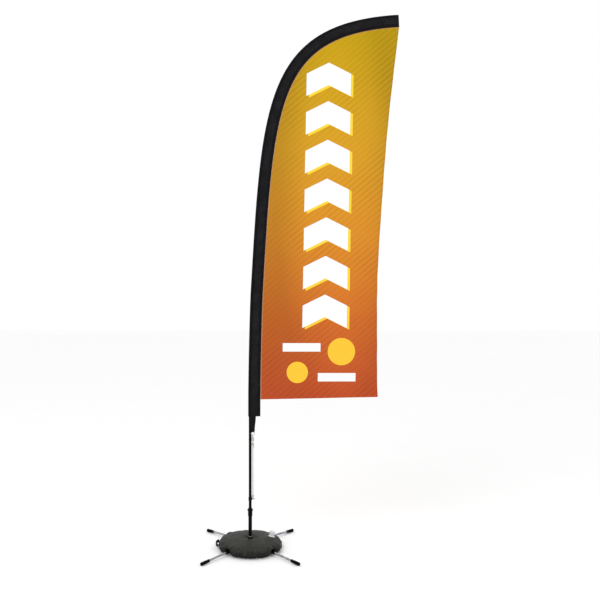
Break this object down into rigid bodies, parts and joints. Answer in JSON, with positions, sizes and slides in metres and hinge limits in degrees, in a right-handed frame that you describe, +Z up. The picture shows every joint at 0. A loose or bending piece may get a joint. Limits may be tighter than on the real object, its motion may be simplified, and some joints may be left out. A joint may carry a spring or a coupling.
{
  "type": "feather flag",
  "caption": "Tall feather flag: a cloth panel on a bowed plug-together pole that turns on a folding cross base, weighted by a ring-shaped water bag.",
  "frame": {"origin": "on the floor, at the centre of the hub's underside, under the pole", "axes": "+Z up along the pole's foot, +X the way the flag flies, so the flag's two faces look along -Y and +Y"},
  "size_m": [1.504, 0.7184, 4.0915],
  "materials": {
    "hub_metal": "satin",
    "steel": "satin",
    "chrome": "polished",
    "rubber": "matte",
    "black_plastic": "satin",
    "pole_composite": "satin",
    "sleeve_cloth": "matte",
    "panel_cloth": "matte",
    "webbing": "matte",
    "cord_cloth": "matte",
    "bag_cloth": "matte",
    "cap_plastic": "gloss"
  },
  "bodies": {
    "base": {"hub_body": "hub_metal", "leg_pin_front_right": "steel", "leg_pin_rear_right": "steel", "leg_pin_rear_left": "steel", "leg_pin_front_left": "steel", "spindle": "steel", "spindle_collar": "chrome", "spindle_washer": "steel", "spindle_nut": "steel"},
    "leg_front_right": {"leg_socket_front_right": "hub_metal", "leg_tube_front_right": "chrome", "foot_cap_front_right": "rubber"},
    "leg_rear_right": {"leg_socket_rear_right": "hub_metal", "leg_tube_rear_right": "chrome", "foot_cap_rear_right": "rubber"},
    "leg_rear_left": {"leg_socket_rear_left": "hub_metal", "leg_tube_rear_left": "chrome", "foot_cap_rear_left": "rubber"},
    "leg_front_left": {"leg_socket_front_left": "hub_metal", "leg_tube_front_left": "chrome", "foot_cap_front_left": "rubber"},
    "rotator": {"rotator_tube": "hub_metal", "rotator_collar": "black_plastic", "lower_bearing": "steel", "upper_bearing": "steel"},
    "flagpole": {"pole_foot_plug": "black_plastic", "pole_section_1": "pole_composite", "pole_section_2": "pole_composite", "pole_section_3": "pole_composite", "pole_tip_rod": "pole_composite", "pole_ferrule_1": "steel", "pole_ferrule_2": "steel", "pole_ferrule_3": "steel", "pole_tip_cap": "rubber", "pole_sleeve": "sleeve_cloth", "flag_panel": "panel_cloth", "tension_strap": "webbing", "strap_ring": "steel", "cord_hook": "black_plastic", "cord_knot_upper": "cord_cloth", "cord_knot_lower": "cord_cloth", "tension_cord": "cord_cloth"},
    "bag": {"water_bag": "bag_cloth", "filler_neck": "cap_plastic", "bag_handle": "webbing"},
    "cap_seal": {"filler_seal": "rubber"},
    "cap": {"filler_cap": "cap_plastic"}
  },
  "joints": [
    {"name": "fold_front_right", "type": "hinge", "parent": "base", "child": "leg_front_right", "pos_m": [0.03182, -0.03182, 0.042], "axis": [0.7071, 0.7071, 0], "range_deg": [0, 86]},
    {"name": "fold_rear_right", "type": "hinge", "parent": "base", "child": "leg_rear_right", "pos_m": [0.03182, 0.03182, 0.042], "axis": [-0.7071, 0.7071, 0], "range_deg": [0, 86]},
    {"name": "fold_rear_left", "type": "hinge", "parent": "base", "child": "leg_rear_left", "pos_m": [-0.03182, 0.03182, 0.042], "axis": [-0.7071, -0.7071, 0], "range_deg": [0, 86]},
    {"name": "fold_front_left", "type": "hinge", "parent": "base", "child": "leg_front_left", "pos_m": [-0.03182, -0.03182, 0.042], "axis": [0.7071, -0.7071, 0], "range_deg": [0, 86]},
    {"name": "flag_spin", "type": "hinge", "parent": "base", "child": "rotator", "pos_m": [0, 0, 0.16], "axis": [0, 0, 1], "continuous": true},
    {"name": "pole_lift", "type": "slide", "parent": "rotator", "child": "flagpole", "axis": [0, 0, 1], "range_m": [0, 0.1]},
    {"name": "bag_lift", "type": "slide", "parent": "base", "child": "bag", "axis": [0, 0, 1], "range_m": [0, 0.12]},
    {"name": "cap_lift", "type": "slide", "parent": "bag", "child": "cap_seal", "axis": [0.1942, 0.052, 0.9796], "range_m": [0, 0.006]},
    {"name": "cap_turn", "type": "hinge", "parent": "cap_seal", "child": "cap", "pos_m": [0.16614, 0.04452, 0.07284], "axis": [0.1942, 0.052, 0.9796], "range_deg": [0, 720]}
  ],
  "couplings": [
    {"joint": "cap_turn", "follows": "cap_lift", "rad_per_m": 2094.4}
  ]
}
